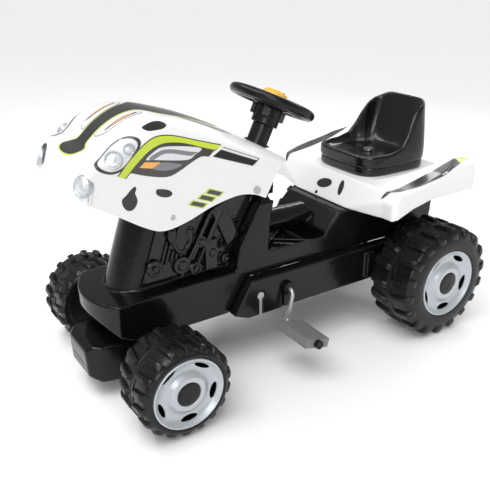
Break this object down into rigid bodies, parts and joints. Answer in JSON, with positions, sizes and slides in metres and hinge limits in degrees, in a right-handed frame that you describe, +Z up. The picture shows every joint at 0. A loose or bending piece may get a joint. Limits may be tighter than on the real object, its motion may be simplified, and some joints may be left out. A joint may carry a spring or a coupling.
{
  "type": "pedal tractor",
  "caption": "Child's pedal-driven ride-on toy tractor with a tipping hood, chain drive, steered front axle and sliding bucket seat.",
  "frame": {"origin": "on the ground, midway along and across the whole tractor", "axes": "+Z up, +X to the driver's left, +Y to the rear, so the tractor drives towards -Y"},
  "size_m": [0.432, 0.806, 0.4728],
  "materials": {
    "black_plastic": "glossy moulded black",
    "bush_plastic": "natural acetal",
    "chain_steel": "oiled steel",
    "grey_plastic": "grey moulded plastic",
    "lens": "pearl white lamp face",
    "satin_black": "satin moulded black",
    "silver_plastic": "silver-grey pearl plastic",
    "steel": "zinc-plated steel",
    "wheel_plastic": "semi-gloss blow-moulded black",
    "white_plastic": "glossy moulded white with printed decals",
    "yellow_plastic": "yellow-orange plastic"
  },
  "bodies": {
    "chassis": {"chassis_frame": "black_plastic", "chain_case": "black_plastic", "engine_panel_left": "black_plastic", "engine_panel_right": "black_plastic", "column_tube": "satin_black", "column_bezel": "satin_black", "shaft_bearing": "satin_black", "kingpin": "steel", "kingpin_block": "satin_black", "drive_chain": "chain_steel", "rear_deck": "white_plastic", "tow_hitch": "satin_black", "hood_screw_left": "steel", "hood_screw_right": "steel", "crank_clip_left": "satin_black", "crank_clip_right": "satin_black", "axle_bush_left": "bush_plastic", "axle_bush_right": "bush_plastic"},
    "hood": {"hood_shell": "white_plastic", "corner_lamp": "lens", "headlight_large": "lens", "headlight_small": "lens"},
    "steering": {"steering_wheel": "black_plastic", "wheel_hub": "satin_black", "steering_shaft": "steel"},
    "horn": {"horn_button": "yellow_plastic"},
    "link": {"drag_link": "steel"},
    "carrier": {"axle_carrier": "satin_black", "link_pin": "steel", "front_axle": "steel", "push_nut_front_left": "steel", "push_nut_front_right": "steel"},
    "front_wheel_left": {"tyre_front_left": "wheel_plastic", "hub_cap_front_left": "silver_plastic", "centre_cap_front_left": "satin_black"},
    "front_wheel_right": {"tyre_front_right": "wheel_plastic", "hub_cap_front_right": "silver_plastic", "centre_cap_front_right": "satin_black"},
    "crank": {"crank_rod": "steel", "crank_sprocket": "steel", "pedal_cap_left": "satin_black", "pedal_cap_right": "satin_black"},
    "pedal_left": {"pedal_left": "grey_plastic"},
    "pedal_right": {"pedal_right": "grey_plastic"},
    "driven_axle": {"rear_axle": "steel", "axle_sprocket": "steel", "tyre_rear_left": "wheel_plastic", "hub_cap_rear_left": "silver_plastic", "centre_cap_rear_left": "satin_black", "push_nut_rear_left": "steel", "push_nut_rear_right": "steel"},
    "rear_wheel_right": {"tyre_rear_right": "wheel_plastic", "hub_cap_rear_right": "silver_plastic", "centre_cap_rear_right": "satin_black"},
    "seat": {"seat_shell": "black_plastic", "seat_bolt": "steel", "seat_nut": "satin_black", "seat_latch": "satin_black"}
  },
  "joints": [
    {"name": "hood_hinge", "type": "hinge", "parent": "chassis", "child": "hood", "pos_m": [0, -0.11263, 0.324], "axis": [1, 0, 0], "range_deg": [0, 28]},
    {"name": "steering", "type": "hinge", "parent": "chassis", "child": "steering", "pos_m": [0, -0.01363, 0.4345], "axis": [0, 0.4352, 0.9003], "range_deg": [-22, 22]},
    {"name": "carrier_pivot", "type": "hinge", "parent": "chassis", "child": "carrier", "pos_m": [0, -0.30463, 0.0775], "axis": [0, 0, 1], "range_deg": [-22, 22]},
    {"name": "drag_link_pivot", "type": "hinge", "parent": "steering", "child": "link", "pos_m": [-0.03, -0.15924, 0.1333], "axis": [0, 0.4352, 0.9003], "range_deg": [-22, 22]},
    {"name": "horn_press", "type": "slide", "parent": "steering", "child": "horn", "axis": [0, -0.4352, -0.9003], "range_m": [0, 0.0018], "stiffness_N_per_m": 400},
    {"name": "front_wheel_left_spin", "type": "hinge", "parent": "carrier", "child": "front_wheel_left", "pos_m": [0, -0.30463, 0.0775], "axis": [1, 0, 0], "continuous": true},
    {"name": "front_wheel_right_spin", "type": "hinge", "parent": "carrier", "child": "front_wheel_right", "pos_m": [0, -0.30463, 0.0775], "axis": [1, 0, 0], "continuous": true},
    {"name": "axle_spin", "type": "hinge", "parent": "chassis", "child": "driven_axle", "pos_m": [0, 0.24236, 0.1064], "axis": [1, 0, 0], "continuous": true},
    {"name": "crank_spin", "type": "hinge", "parent": "chassis", "child": "crank", "pos_m": [0, -0.04418, 0.131], "axis": [1, 0, 0], "continuous": true},
    {"name": "pedal_left_spin", "type": "hinge", "parent": "crank", "child": "pedal_left", "pos_m": [0, -0.05723, 0.07449], "axis": [1, 0, 0], "continuous": true},
    {"name": "pedal_right_spin", "type": "hinge", "parent": "crank", "child": "pedal_right", "pos_m": [0, -0.03113, 0.18751], "axis": [1, 0, 0], "continuous": true},
    {"name": "rear_wheel_right_spin", "type": "hinge", "parent": "driven_axle", "child": "rear_wheel_right", "pos_m": [0, 0.24236, 0.1064], "axis": [1, 0, 0], "continuous": true},
    {"name": "seat_slide", "type": "slide", "parent": "chassis", "child": "seat", "axis": [0, 1, 0], "range_m": [-0.015, 0.015]}
  ],
  "couplings": [
    {"joint": "carrier_pivot", "follows": "steering", "ratio": 1},
    {"joint": "drag_link_pivot", "follows": "steering", "ratio": -1},
    {"joint": "crank_spin", "follows": "axle_spin", "ratio": 0.5}
  ]
}
